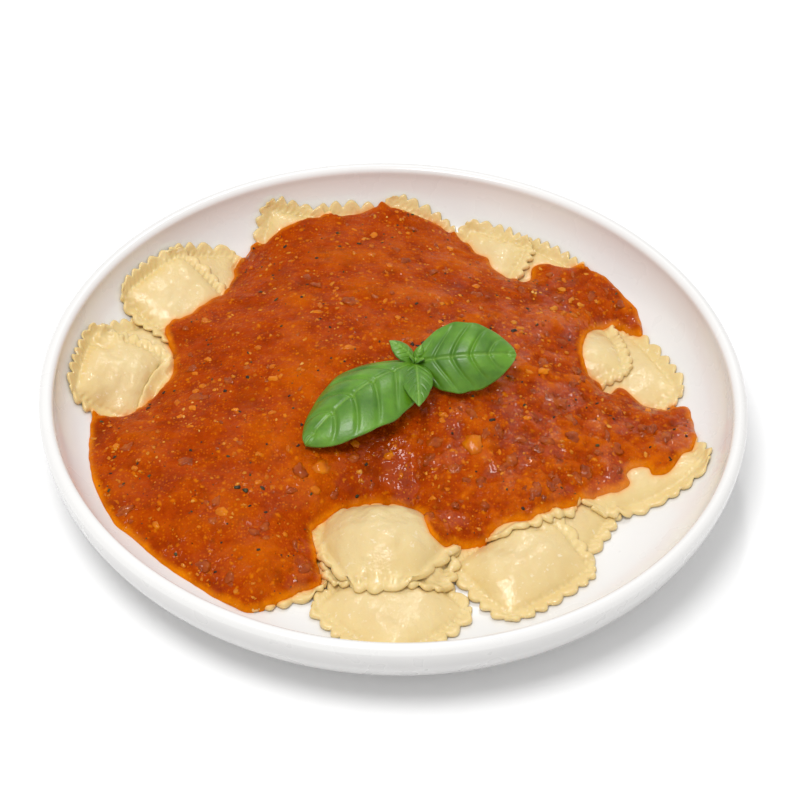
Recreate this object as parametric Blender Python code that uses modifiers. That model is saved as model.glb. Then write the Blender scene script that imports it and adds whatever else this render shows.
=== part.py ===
"""A low round pasta plate of ravioli in meat and tomato sauce, with a sprig of basil.

Metres, +Z up. The origin is on the table, under the centre of the plate, and the diner
sits on the -Y side. The plate is turned. The ravioli are laid on it one after another and
each sinks onto what is already there. The sauce is poured over them, and the sprig lies
on top of the sauce.
"""

import math

import bpy
import numpy as np
from mathutils import Vector
from mathutils.bvhtree import BVHTree

MM = 0.001

# Plate
PLATE_ARCS = {"wall": 6, "lip": 4, "underside": 5}
RIM_RADIUS = 135 * MM
RIM_HEIGHT = 38.5 * MM
LIP_RADIUS = 2.75 * MM
WALL_START = 95 * MM
FLOOR_HEIGHT = 7.2 * MM
UNDERSIDE_HEIGHT = 2.2 * MM
FOOT_OUTER = 93 * MM
FOOT_INNER = 86 * MM
FOOT_DRAFT = 1 * MM
PLATE_STEPS = 40
PLATE_WELD = 0.01 * MM

# Pasta squares
BORDER = 4.6 * MM
FLUTE_DEPTH = 1.3 * MM
EDGE_HEIGHT = 0.9 * MM
SEAL_THICKNESS = 2.2 * MM
CORNER_ROUNDING = 0.10
CELLS = 6
GAP = 0.4 * MM
SAMPLE_SPACING = 2 * MM

# How a square sinks: it starts above the pile, sags, is pushed clear, and is smoothed
START_LIFT = 6 * MM
SAG = 0.8 * MM
SINKING_ROUNDS = 36
CLEARING_ROUNDS = 12
PUSH = 1.05
REST_SPREAD = 0.42
REST_SAMPLES = 7

# How the squares lie, in the order they are laid:
# place (x, y) and size (long, wide) in mm, turn in degrees, belly in mm, narrowing of the front edge
LAID = {
    "raviolo_01": ((-100, 36), (40, 38), 35, 7.5, 0.0),
    "raviolo_02": ((-79, 77), (38, 38), 20, 7.0, 0.0),
    "raviolo_03": ((-20, 109), (38, 36), 6, 7.0, 0.0),
    "raviolo_04": ((58, 89), (40, 36), -36, 7.0, 0.0),
    "raviolo_05": ((92, 36), (50, 38), -62, 6.5, 0.0),
    "raviolo_06": ((64, -42), (40, 40), -29, 6.5, 0.0),
    "raviolo_07": ((2, -90), (49, 49), 45, 7.5, 0.0),
    "raviolo_08": ((-43, -73), (40, 36), 20, 7.0, 0.0),
    "raviolo_09": ((50, -67), (49, 42), 39, 9.0, 0.0),
    "raviolo_10": ((1, -65), (50, 40), -4, 7.5, 0.0),
    "raviolo_11": ((94, -16), (56, 40), 25, 8.0, 0.0),
    "raviolo_12": ((48, -36), (42, 38), 25, 7.5, 0.0),
    "raviolo_13": ((-111, 19), (42, 38), 84, 8.0, 0.0),
    "raviolo_14": ((-79, 10), (40, 40), 72, 8.0, 0.0),
    "raviolo_15": ((-90, 65), (41, 41), 52, 8.5, 0.0),
    "raviolo_16": ((-43, 103), (36, 38), -6, 8.0, 0.0),
    "raviolo_17": ((3, 110), (38, 38), -28, 8.0, 0.0),
    "raviolo_18": ((37, 99), (36, 37), -25, 8.0, 0.0),
    "raviolo_19": ((74, 46), (40, 42), 14, 8.0, 0.0),
    "raviolo_20": ((-2, -62), (55, 50), 0, 10.0, 0.5),
}

# Sauce
MOUND = np.array((-26, 10)) * MM
MOUND_HEIGHT = 32 * MM
MOUND_FULLNESS = 0.8
SAUCE_THIN = 1.4 * MM
POURING_ROUNDS = 16
EDGE_STEP = 14 * MM
RINGS = (0.2, 0.4, 0.58, 0.74, 0.88, 1.0)
# where the sauce ends, in mm, going round from the left towards the diner
SAUCE_EDGE = (
    (-112, -5), (-117, -16), (-113, -33), (-108, -48), (-93, -64), (-81, -76), (-68, -86), (-47, -94),
    (-34, -86), (-29, -74), (-28, -57), (-18, -46), (-8, -39), (1, -38), (11, -46), (20, -58), (30, -62),
    (39, -54), (57, -48), (72, -43), (90, -31), (107, -22), (116, -11), (117, 2), (114, 10), (100, 8),
    (82, 9), (74, 23), (75, 46), (88, 61), (96, 65), (97, 70), (87, 83), (76, 94), (66, 93), (57, 83),
    (47, 82), (35, 94), (25, 109), (5, 119), (-17, 118), (-38, 114), (-55, 100), (-67, 91), (-68, 76),
    (-80, 58), (-91, 46), (-85, 25), (-91, 9), (-99, -2),
)

# Basil sprig
SPRIG = Vector((8 * MM, 11 * MM, 0))
LEAF_THICKNESS = 0.9 * MM
LEAF_STATIONS = 8
LEAF_OFFSETS = (-1, -0.5, 0, 0.5, 1)
LEAF_WIDEST = 0.85
LEAF_BLUNTNESS = 0.75
LEAF_NARROWEST = 0.6 * MM
LEAF_BOW = 0.10
STEM_END = 2.2 * MM
STEM_LIFT = 4 * MM
CLEARANCE_STEPS = 4
SMOOTH_BELOW = 50
# length, width in mm; heading, rise, roll, cupping in degrees or as a share of the width
LEAVES = {
    "leaf_left": ((56, 34), -138, -10, 6, 0.16),
    "leaf_right": ((38, 28), 3, 6, 34, 0.14),
    "leaf_front": ((21, 11), -84, -2, 0, 0.16),
    "leaf_back": ((13, 8), 150, 24, 0, 0.2),
}

PASTA = ((0.86, 0.68, 0.40), 0.4)
GLAZE = ((0.85, 0.83, 0.80), 0.15)
TOMATO = ((0.42, 0.08, 0.01), 0.3)
BASIL = ((0.09, 0.28, 0.03), 0.35)


def clear_scene():
    for item in list(bpy.data.objects):
        bpy.data.objects.remove(item, do_unlink=True)


def make_collection(name):
    group = bpy.data.collections.new(name)
    bpy.context.scene.collection.children.link(group)
    return group


def make_material(name, finish):
    colour, roughness = finish
    material = bpy.data.materials.new(name)
    material.use_nodes = True
    shader = material.node_tree.nodes["Principled BSDF"]
    shader.inputs["Base Color"].default_value = (*colour, 1)
    shader.inputs["Roughness"].default_value = roughness
    shader.inputs["Metallic"].default_value = 0
    return material


def add_object(name, points, faces, material, group):
    mesh = bpy.data.meshes.new(name)
    mesh.from_pydata([tuple(p) for p in points], [], [tuple(f) for f in faces])
    mesh.materials.append(material)
    item = bpy.data.objects.new(name, mesh)
    group.objects.link(item)
    return item


def arc(centre, radii, start, end, steps):
    """Points (radius, height) on a quarter or part of an ellipse, from start to end degrees."""
    points = []
    for k in range(steps + 1):
        angle = math.radians(start + (end - start) * k / steps)
        points.append((centre[0] + radii[0] * math.cos(angle), centre[1] + radii[1] * math.sin(angle)))
    return points


def plate_profile():
    """Half section of the plate, from the middle of its floor out over the lip to its underside."""
    lip_middle = RIM_RADIUS - LIP_RADIUS
    lip_height = RIM_HEIGHT - LIP_RADIUS
    inner_radius = lip_middle - LIP_RADIUS
    inside = arc(
        (WALL_START, lip_height),
        (inner_radius - WALL_START, lip_height - FLOOR_HEIGHT),
        -90,
        0,
        PLATE_ARCS["wall"],
    )
    lip = arc((lip_middle, lip_height), (LIP_RADIUS, LIP_RADIUS), 180, 0, PLATE_ARCS["lip"])
    outside = arc(
        (FOOT_OUTER, lip_height),
        (RIM_RADIUS - FOOT_OUTER, lip_height - UNDERSIDE_HEIGHT),
        0,
        -90,
        PLATE_ARCS["underside"],
    )
    foot = [(FOOT_OUTER - FOOT_DRAFT, 0), (FOOT_INNER, 0), (FOOT_INNER - FOOT_DRAFT, UNDERSIDE_HEIGHT)]
    return [(0, FLOOR_HEIGHT)] + inside + lip[1:] + outside[1:] + foot + [(0, UNDERSIDE_HEIGHT)]


def make_plate(group, material):
    section = plate_profile()
    mesh = bpy.data.meshes.new("plate")
    mesh.from_pydata([(r, 0, z) for r, z in section], [(k, k + 1) for k in range(len(section) - 1)], [])
    mesh.materials.append(material)
    plate = bpy.data.objects.new("plate", mesh)
    group.objects.link(plate)
    turning = plate.modifiers.new("turned", "SCREW")
    turning.axis = "Z"
    turning.steps = PLATE_STEPS
    turning.render_steps = PLATE_STEPS
    turning.use_merge_vertices = True
    turning.merge_threshold = PLATE_WELD
    return plate


class Pile:
    """What is on the table so far, as one surface that the next piece can be laid on."""

    def __init__(self):
        self.points = []
        self.faces = []
        self.surface = None

    def add(self, item):
        bpy.context.view_layer.update()
        depsgraph = bpy.context.evaluated_depsgraph_get()
        shape = item.evaluated_get(depsgraph).to_mesh()
        first = len(self.points)
        self.points += [item.matrix_world @ v.co for v in shape.vertices]
        self.faces += [[first + i for i in p.vertices] for p in shape.polygons]
        self.surface = BVHTree.FromPolygons(self.points, self.faces)

    def heights(self, places):
        """Height of the pile under each (x, y), or well below it where there is nothing."""
        down = Vector((0, 0, -1))
        found = np.full(len(places), -1.0)
        for k, (x, y) in enumerate(places):
            hit = self.surface.ray_cast(Vector((x, y, 0.2)), down)[0]
            if hit is not None:
                found[k] = hit.z
        return found


class Sheet:
    """A flat triangle net that is laid on the pile: each point may move along one direction."""

    def __init__(self, places, triangles, spacing):
        self.places = np.array(places)
        self.triangles = triangles
        corners = []
        shares = []
        for triangle in triangles:
            sides = [self.places[triangle[k]] - self.places[triangle[k - 1]] for k in range(3)]
            steps = max(1, math.ceil(max(np.hypot(*side) for side in sides) / spacing))
            for i in range(steps + 1):
                for j in range(steps + 1 - i):
                    corners.append(triangle)
                    shares.append((i / steps, j / steps, (steps - i - j) / steps))
        self.corners = np.array(corners)
        self.shares = np.array(shares)
        self.links = np.zeros((len(places), len(places)))
        for triangle in triangles:
            for k in range(3):
                self.links[triangle[k], triangle[k - 1]] = 1
                self.links[triangle[k - 1], triangle[k]] = 1
        self.links /= self.links.sum(axis=1, keepdims=True)

    def clearances(self, points, pile):
        samples = (points[self.corners] * self.shares[:, :, None]).sum(axis=1)
        return samples[:, 2] - pile.heights(samples[:, :2]) - GAP

    def pushed(self, clearances):
        """How far each point has to rise for the net to clear the pile."""
        need = np.maximum(-clearances, 0) / (self.shares**2).sum(axis=1)
        rise = np.zeros(len(self.places))
        for k in range(3):
            np.maximum.at(rise, self.corners[:, k], need * self.shares[:, k])
        return rise

    def slack(self, clearances):
        """How far each point could fall before the net touches the pile."""
        room = np.full(len(self.places), 1.0)
        for k in range(3):
            near = self.shares[:, k] > 0
            np.minimum.at(room, self.corners[near, k], clearances[near])
        return np.maximum(room, 0)


def square_place(s, t, narrow):
    """The (s, t) square with pulled-in corners and a front edge that may be narrower."""
    x = s * (1 - CORNER_ROUNDING * t * t)
    y = t * (1 - CORNER_ROUNDING * s * s)
    return x * (1 - narrow * max(0, -t)), y


def perimeter(cells):
    """Steps (s, t) once round the square, anticlockwise from its near left corner."""
    line = [-1 + 2 * k / cells for k in range(cells)]
    return (
        [(a, -1) for a in line] + [(1, a) for a in line]
        + [(-a, 1) for a in line] + [(-1, -a) for a in line]
    )


def raviolo_net(long, wide, narrow):
    """Places, triangles, edge flags and belly share of one square of filled pasta."""
    half = np.array((long / 2, wide / 2))
    inner = 1 - BORDER / half
    places = []
    belly = []
    for j in range(CELLS + 1):
        for i in range(CELLS + 1):
            s = -1 + 2 * i / CELLS
            t = -1 + 2 * j / CELLS
            places.append(np.array(square_place(s, t, narrow)) * half * inner)
            belly.append(math.sqrt(max(0, (1 - s * s) * (1 - t * t))))
    triangles = []
    for j in range(CELLS):
        for i in range(CELLS):
            a = j * (CELLS + 1) + i
            b = a + 1
            c = a + CELLS + 2
            d = a + CELLS + 1
            triangles += [(a, b, c), (a, c, d)]
    seal = [round((t + 1) / 2 * CELLS) * (CELLS + 1) + round((s + 1) / 2 * CELLS)
            for s, t in perimeter(CELLS)]
    first = len(places)
    rim = perimeter(2 * CELLS)
    for k, (s, t) in enumerate(rim):
        place = np.array(square_place(s, t, narrow)) * half
        flute = FLUTE_DEPTH / 2 * (1 if k % 2 else -1)
        places.append(place * (1 + flute / np.hypot(*place)))
        belly.append(0)
    for k in range(len(seal)):
        after = (k + 1) % len(seal)
        left = first + 2 * k
        peak = left + 1
        right = first + (2 * k + 2) % len(rim)
        triangles += [(seal[k], left, peak), (seal[k], peak, seal[after]), (seal[after], peak, right)]
    edge = np.arange(len(places)) >= first
    return Sheet(places, triangles, SAMPLE_SPACING), edge, np.array(belly)


def lie_of(place, size, turn, pile):
    """Middle, long, cross and upward directions of a square that rests on the pile at place."""
    spread = np.linspace(-REST_SPREAD, REST_SPREAD, REST_SAMPLES)
    along = np.array((math.cos(turn), math.sin(turn)))
    across = np.array((-math.sin(turn), math.cos(turn)))
    middle = np.array(place)
    spots = np.array([middle + along * size[0] * a + across * size[1] * b for a in spread for b in spread])
    heights = pile.heights(spots)
    table = np.column_stack((spots - middle, np.ones(len(spots))))
    slope_x, slope_y, height = np.linalg.lstsq(table, heights, rcond=None)[0]
    up = Vector((-slope_x, -slope_y, 1)).normalized()
    long_way = Vector((along[0], along[1], 0))
    long_way = (long_way - up * long_way.dot(up)).normalized()
    cross_way = up.cross(long_way)
    return np.array((*middle, height)), np.array(long_way), np.array(cross_way), np.array(up)


def lay_raviolo(name, lie, pile, group, material):
    (x, y), (long, wide), turn, belly, narrow = lie
    size = (long * MM, wide * MM)
    sheet, edge, share = raviolo_net(*size, narrow)
    middle, long_way, cross_way, up = lie_of((x * MM, y * MM), size, math.radians(turn), pile)
    flat = middle + sheet.places[:, :1] * long_way + sheet.places[:, 1:] * cross_way
    rest = np.where(edge, EDGE_HEIGHT, 0)
    height = np.full(len(flat), START_LIFT)
    for _ in range(SINKING_ROUNDS):
        height = 0.5 * height + 0.5 * (sheet.links @ height)
        gaps = sheet.clearances(flat + (height + rest)[:, None] * up, pile) * up[2]
        height += sheet.pushed(gaps)
        height -= np.minimum(sheet.slack(gaps), SAG)
    for _ in range(CLEARING_ROUNDS):
        gaps = sheet.clearances(flat + (height + rest)[:, None] * up, pile) * up[2]
        height += sheet.pushed(gaps) * PUSH
    bottom = flat + (height + rest)[:, None] * up
    thickness = SEAL_THICKNESS + (belly * MM - SEAL_THICKNESS) * share
    crown = bottom[~edge] + thickness[~edge][:, None] * up
    return close_net(name, bottom, crown, sheet.triangles, edge, group, material)


def close_net(name, bottom, crown, triangles, shared, group, material):
    """A solid between a lower and an upper net that meet in the shared points."""
    upper = np.arange(len(bottom))
    upper[~shared] = len(bottom) + np.arange(len(crown))
    faces = [tuple(upper[i] for i in t) for t in triangles]
    faces += [tuple(reversed(t)) for t in triangles]
    return add_object(name, np.vstack((bottom, crown)), faces, material, group)


def sauce_outline():
    """The sauce's edge, with points added wherever two neighbours lie far apart."""
    corners = np.array(SAUCE_EDGE) * MM
    points = []
    for k, corner in enumerate(corners):
        way = corners[(k + 1) % len(corners)] - corner
        steps = math.ceil(np.hypot(*way) / EDGE_STEP)
        points += [corner + way * j / steps for j in range(steps)]
    return np.array(points)


def pour_sauce(pile, group, material):
    """A mound whose underside rests on all that lies in the plate."""
    edge = sauce_outline()
    count = len(edge)
    places = np.vstack([[MOUND]] + [MOUND + (edge - MOUND) * ring for ring in RINGS])
    triangles = []
    for k in range(count):
        after = (k + 1) % count
        triangles.append((0, 1 + k, 1 + after))
        for ring in range(len(RINGS) - 1):
            a = 1 + ring * count + k
            b = 1 + ring * count + after
            triangles += [(a, a + count, b + count), (a, b + count, b)]
    sheet = Sheet(places, triangles, SAMPLE_SPACING)
    height = pile.heights(places) + GAP
    for _ in range(POURING_ROUNDS):
        gaps = sheet.clearances(np.column_stack((places, height)), pile)
        height += sheet.pushed(gaps) * PUSH
    share = np.concatenate(((0.0,), np.repeat(RINGS, count)))
    foot = height[-count:]
    foot = np.concatenate(((foot.mean(),), np.tile(foot, len(RINGS))))
    dome = foot + (MOUND_HEIGHT - foot) * (1 - share**2) ** MOUND_FULLNESS
    bottom = np.column_stack((places, height))
    crown = np.column_stack((places, np.maximum(dome, height + SAUCE_THIN)))
    faces = [tuple(len(places) + i for i in t) for t in triangles]
    faces += [tuple(reversed(t)) for t in triangles]
    last = len(places) - count
    for k in range(count):
        a = last + k
        b = last + (k + 1) % count
        faces.append((a, b, b + len(places), a + len(places)))
    return add_object("sauce", np.vstack((bottom, crown)), faces, material, group)


def leaf_solid(name, leaf, base, group, material):
    """One basil leaf: a cupped pointed oval, thicker along its middle rib."""
    (length, width), heading, rise, roll, cupping = leaf
    turn = math.radians(heading)
    lift = math.radians(rise)
    lean = math.radians(roll)
    ahead = Vector((math.cos(turn) * math.cos(lift), math.sin(turn) * math.cos(lift), math.sin(lift)))
    flat_side = Vector((-math.sin(turn), math.cos(turn), 0))
    side = flat_side * math.cos(lean) + ahead.cross(flat_side) * math.sin(lean)
    above = ahead.cross(side)
    points = []
    for k in range(LEAF_STATIONS + 1):
        s = k / LEAF_STATIONS
        fullness = math.sin(math.pi * s**LEAF_WIDEST) ** LEAF_BLUNTNESS
        half = max(width * MM / 2 * fullness, LEAF_NARROWEST)
        bow = above * (length * MM * LEAF_BOW * math.sin(math.pi * s))
        spine = base + ahead * (length * MM * s) + bow
        top = [spine + side * half * o - above * half * cupping * 2 * o * o for o in LEAF_OFFSETS]
        points += top
        points += [top[i] - above * LEAF_THICKNESS for i in (3, 2, 1)]
    ring = len(LEAF_OFFSETS) + 3
    faces = [tuple(reversed(range(ring)))]
    faces.append(tuple(range(LEAF_STATIONS * ring, (LEAF_STATIONS + 1) * ring)))
    for k in range(LEAF_STATIONS):
        for i in range(ring):
            a = k * ring + i
            b = k * ring + (i + 1) % ring
            faces.append((a, b, b + ring, a + ring))
    return add_object(name, points, faces, material, group)


def clear_by(item, pile):
    """How much item must rise to clear the pile by the gap everywhere."""
    mesh = item.data
    mesh.calc_loop_triangles()
    samples = []
    for triangle in mesh.loop_triangles:
        a, b, c = [item.matrix_world @ mesh.vertices[i].co for i in triangle.vertices]
        for i in range(CLEARANCE_STEPS + 1):
            for j in range(CLEARANCE_STEPS + 1 - i):
                k = CLEARANCE_STEPS - i - j
                samples.append((a * i + b * j + c * k) / CLEARANCE_STEPS)
    heights = pile.heights([(p.x, p.y) for p in samples])
    return max(h + GAP - p.z for h, p in zip(heights, samples))


def make_sprig(pile, group, guides, material):
    """The leaves and the end of the stem, joined into one body."""
    ground = pile.heights([(SPRIG.x, SPRIG.y)])[0]
    node = Vector((SPRIG.x, SPRIG.y, ground + STEM_LIFT))
    bpy.ops.mesh.primitive_uv_sphere_add(segments=10, ring_count=6, radius=STEM_END, location=node)
    sprig = bpy.context.object
    sprig.name = "basil_sprig"
    sprig.data.materials.append(material)
    for owner in list(sprig.users_collection):
        owner.objects.unlink(sprig)
    group.objects.link(sprig)
    leaves = [leaf_solid(name, leaf, node, guides, material) for name, leaf in LEAVES.items()]
    bpy.context.view_layer.update()
    rise = max(clear_by(item, pile) for item in leaves + [sprig])
    for item in leaves + [sprig]:
        item.location.z += rise
    for item in leaves:
        item.hide_render = True
        item.display_type = "WIRE"
        join = sprig.modifiers.new(item.name, "BOOLEAN")
        join.operation = "UNION"
        join.solver = "EXACT"
        join.object = item
    return sprig


def smooth(item, degrees):
    item.data.shade_smooth()
    item.data.set_sharp_from_angle(angle=math.radians(degrees))


def build():
    clear_scene()
    group = make_collection("ravioli_plate")
    guides = make_collection("guides")
    pasta = make_material("pasta", PASTA)
    pile = Pile()
    plate = make_plate(group, make_material("glazed_ceramic", GLAZE))
    pile.add(plate)
    for name, lie in LAID.items():
        raviolo = lay_raviolo(name, lie, pile, group, pasta)
        smooth(raviolo, SMOOTH_BELOW)
        pile.add(raviolo)
    sauce = pour_sauce(pile, group, make_material("tomato_sauce", TOMATO))
    smooth(sauce, SMOOTH_BELOW)
    pile.add(sauce)
    make_sprig(pile, group, guides, make_material("basil", BASIL))


build()
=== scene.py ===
"""A low white pasta plate of ravioli in meat and tomato sauce, with a basil sprig on top."""

import math

import bmesh
import bpy
import numpy as np
from mathutils import Matrix, Vector, noise
from mathutils.bvhtree import BVHTree
from mathutils.geometry import delaunay_2d_cdt
from mathutils.kdtree import KDTree


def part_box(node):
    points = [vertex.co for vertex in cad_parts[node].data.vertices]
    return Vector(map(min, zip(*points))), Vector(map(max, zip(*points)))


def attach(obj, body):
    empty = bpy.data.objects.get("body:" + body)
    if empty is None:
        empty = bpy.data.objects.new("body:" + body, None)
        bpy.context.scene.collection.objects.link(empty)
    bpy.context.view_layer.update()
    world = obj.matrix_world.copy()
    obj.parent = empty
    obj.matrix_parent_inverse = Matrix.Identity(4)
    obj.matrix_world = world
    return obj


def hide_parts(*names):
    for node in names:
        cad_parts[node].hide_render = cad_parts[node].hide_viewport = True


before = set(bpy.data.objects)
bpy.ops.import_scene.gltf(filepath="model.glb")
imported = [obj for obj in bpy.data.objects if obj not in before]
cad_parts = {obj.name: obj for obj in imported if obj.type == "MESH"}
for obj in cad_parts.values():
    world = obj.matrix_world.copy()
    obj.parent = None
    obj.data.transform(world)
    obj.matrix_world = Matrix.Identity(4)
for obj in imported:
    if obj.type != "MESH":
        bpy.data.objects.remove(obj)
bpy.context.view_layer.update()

# ---------------------------------------------------------------------------------------
# The table, the light and the eye
# A plain white table under a bright, even studio sky, with one wide soft box high in front
# of the plate and a little to its left. A small lamp behind makes the wet food sparkle.

MM = 0.001
EYE_DISTANCE = 0.9
EYE_ELEVATION = math.radians(43.46)
EYE_ROLL = math.radians(2.05)
EYE_TARGET = Vector((0, 0, 36 * MM))
EYE_LENS = 105.8
EYE_SHIFT = (0.0075, -0.02)
SKY_STRENGTH = 0.66
TABLE_HALF = 6.0
TABLE_HEIGHT = -0.3 * MM

bpy.context.scene.view_settings.view_transform = "Standard"

outward = Vector((0, -math.cos(EYE_ELEVATION), math.sin(EYE_ELEVATION)))
sideways = Vector((1, 0, 0))
upright = outward.cross(sideways)
eye_right = sideways * math.cos(EYE_ROLL) + upright * math.sin(EYE_ROLL)
eye_up = -sideways * math.sin(EYE_ROLL) + upright * math.cos(EYE_ROLL)
eye = bpy.data.objects.new("eye", bpy.data.cameras.new("eye"))
eye.data.lens = EYE_LENS
eye.data.shift_x, eye.data.shift_y = EYE_SHIFT
bpy.context.scene.collection.objects.link(eye)
eye_turn = Matrix((eye_right, eye_up, outward)).transposed().to_4x4()
eye.matrix_world = Matrix.Translation(EYE_TARGET + outward * EYE_DISTANCE) @ eye_turn
bpy.context.scene.camera = eye


def soft_box(name, place, aim, size, power):
    """A round lamp, size across, that shines from the place towards the aim."""
    lamp = bpy.data.lights.new(name, "AREA")
    lamp.shape = "DISK"
    lamp.size = size
    lamp.energy = power
    item = bpy.data.objects.new(name, lamp)
    item.location = place
    item.rotation_euler = (Vector(aim) - Vector(place)).to_track_quat("-Z", "Y").to_euler()
    bpy.context.scene.collection.objects.link(item)


soft_box("key", (-0.22, -0.42, 1.2), (0, 0, 0.02), 0.45, 8.6)
soft_box("sparkle", (0.08, 0.66, 1.0), (0, 0, 0.03), 0.11, 1.8)

sky = bpy.data.worlds.new("studio")
sky.use_nodes = True
sky_light = sky.node_tree.nodes["Background"]
sky_light.inputs["Color"].default_value = (1, 1, 1, 1)
sky_light.inputs["Strength"].default_value = SKY_STRENGTH
bpy.context.scene.world = sky


class Finish:
    """A Principled material that is built up node by node."""

    def __init__(self, name, **constants):
        self.material = bpy.data.materials.new(name)
        self.material.use_nodes = True
        self.tree = self.material.node_tree
        self.shader = self.tree.nodes["Principled BSDF"]
        for socket, value in constants.items():
            self.shader.inputs[socket.replace("_", " ")].default_value = value
        self.place = self.add("ShaderNodeTexCoord").outputs["Object"]

    def add(self, kind, **settings):
        node = self.tree.nodes.new(kind)
        for key, value in settings.items():
            setattr(node, key, value)
        return node

    def link(self, source, socket):
        self.tree.links.new(source, socket)

    def grain(self, scale, detail=3, roughness=0.5):
        """Soft noise from 0 to 1; scale is in lumps per metre."""
        node = self.add("ShaderNodeTexNoise")
        node.inputs["Scale"].default_value = scale
        node.inputs["Detail"].default_value = detail
        node.inputs["Roughness"].default_value = roughness
        self.link(self.place, node.inputs["Vector"])
        return node.outputs["Fac"]

    def worn(self, name):
        """A value that each point of the mesh carries."""
        return self.add("ShaderNodeAttribute", attribute_name=name).outputs["Fac"]

    def ramp(self, factor, *stops):
        """Colours or greys along a factor: (position, colour) pairs."""
        node = self.add("ShaderNodeValToRGB")
        while len(node.color_ramp.elements) < len(stops):
            node.color_ramp.elements.new(1)
        for element, (position, colour) in zip(node.color_ramp.elements, stops):
            element.position = position
            grey = isinstance(colour, (int, float))
            element.color = (colour, colour, colour, 1) if grey else (*colour, 1)
        self.link(factor, node.inputs["Fac"])
        return node.outputs["Color"]

    def mix(self, factor, first, second, blend="MIX"):
        """The first value where the factor is 0 and the second where it is 1."""
        node = self.add("ShaderNodeMix", data_type="RGBA", blend_type=blend)
        factor_socket, first_socket, second_socket = node.inputs[0], node.inputs[6], node.inputs[7]
        pairs = ((factor, factor_socket), (first, first_socket), (second, second_socket))
        for value, socket in pairs:
            if isinstance(value, (int, float)):
                socket.default_value = value
            elif isinstance(value, tuple):
                socket.default_value = (*value, 1)
            else:
                self.link(value, socket)
        return node.outputs[2]

    def halved(self, source):
        """A value from -1 to 1 brought to 0 to 1."""
        node = self.add("ShaderNodeMath", operation="MULTIPLY_ADD")
        self.link(source, node.inputs[0])
        node.inputs[1].default_value = 0.5
        node.inputs[2].default_value = 0.5
        return node.outputs["Value"]

    def colour(self, source):
        self.link(source, self.shader.inputs["Base Color"])

    def shine(self, factor, smooth, rough):
        """Roughness that runs from smooth to rough along a factor."""
        node = self.add("ShaderNodeMapRange")
        node.inputs["To Min"].default_value = smooth
        node.inputs["To Max"].default_value = rough
        self.link(factor, node.inputs["Value"])
        self.link(node.outputs["Result"], self.shader.inputs["Roughness"])

    def bump(self, height, depth, strength=1.0, under=None, sockets=("Normal", "Coat Normal")):
        """Relief of the height map, depth deep, on top of the relief under it."""
        node = self.add("ShaderNodeBump")
        node.inputs["Distance"].default_value = depth
        node.inputs["Strength"].default_value = strength
        self.link(height, node.inputs["Height"])
        if under:
            self.link(under, node.inputs["Normal"])
        for socket in sockets:
            self.link(node.outputs["Normal"], self.shader.inputs[socket])
        return node.outputs["Normal"]


def mesh_object(name, points, faces, material):
    """A smooth-shaded object; faces is an array, or a list where their sizes differ."""
    mesh = bpy.data.meshes.new(name)
    faces = faces.tolist() if isinstance(faces, np.ndarray) else faces
    mesh.from_pydata(np.asarray(points).tolist(), [], faces)
    mesh.materials.append(material)
    mesh.shade_smooth()
    item = bpy.data.objects.new(name, mesh)
    bpy.context.scene.collection.objects.link(item)
    return item


white = Finish(
    "white_table", Roughness=0.6, Base_Color=(0.92, 0.92, 0.92, 1),
    Emission_Color=(1, 1, 1, 1), Emission_Strength=0.06,
)
corner_signs = ((-1, -1), (1, -1), (1, 1), (-1, 1))
table_corners = [(x * TABLE_HALF, y * TABLE_HALF, TABLE_HEIGHT) for x, y in corner_signs]
table = mesh_object("table", table_corners, [(0, 1, 2, 3)], white.material)

# ---------------------------------------------------------------------------------------
# The plate
# Glazed white stoneware, turned on a wheel: a flat floor, a steep rounded wall and a thick
# soft lip. It stands on a foot ring.

RIM_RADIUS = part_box("plate")[1].x
RIM_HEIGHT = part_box("plate")[1].z
LIP_RADIUS = 2.75 * MM
WALL_START = 95 * MM
FLOOR_HEIGHT = 7.2 * MM
UNDERSIDE_HEIGHT = 2.2 * MM
FOOT_OUTER = 93 * MM
FOOT_INNER = 86 * MM
FOOT_EASE = 1 * MM
FLOOR_RINGS = (0, 20, 45, 70, 85)
UNDERSIDE_RING = 40 * MM
PLATE_STEPS = 192
WELD = 0.01 * MM


def arc(centre, radii, start, end, steps):
    """Points (radius, height) along part of an ellipse, from start to end degrees."""
    turns = np.radians(np.linspace(start, end, steps + 1))
    return [(centre[0] + radii[0] * math.cos(a), centre[1] + radii[1] * math.sin(a)) for a in turns]


def rounded_foot():
    """The foot ring's section, its two lower edges eased."""
    ease = (FOOT_EASE, FOOT_EASE)
    outer = arc((FOOT_OUTER - 2 * FOOT_EASE, FOOT_EASE), ease, 0, -90, 4)
    inner = arc((FOOT_INNER + FOOT_EASE, FOOT_EASE), ease, -90, -180, 4)
    return outer + inner


lip_middle = RIM_RADIUS - LIP_RADIUS
lip_height = RIM_HEIGHT - LIP_RADIUS
inner_wall = (lip_middle - LIP_RADIUS - WALL_START, lip_height - FLOOR_HEIGHT)
outer_wall = (RIM_RADIUS - FOOT_OUTER, lip_height - UNDERSIDE_HEIGHT)
section = [(r * MM, FLOOR_HEIGHT) for r in FLOOR_RINGS]
section += arc((WALL_START, lip_height), inner_wall, -90, 0, 40)
section += arc((lip_middle, lip_height), (LIP_RADIUS, LIP_RADIUS), 180, 0, 20)[1:]
section += arc((FOOT_OUTER, lip_height), outer_wall, 0, -88, 30)[1:]
section += rounded_foot()
section += [(r, UNDERSIDE_HEIGHT) for r in (FOOT_INNER - FOOT_EASE, UNDERSIDE_RING, 0)]

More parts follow.
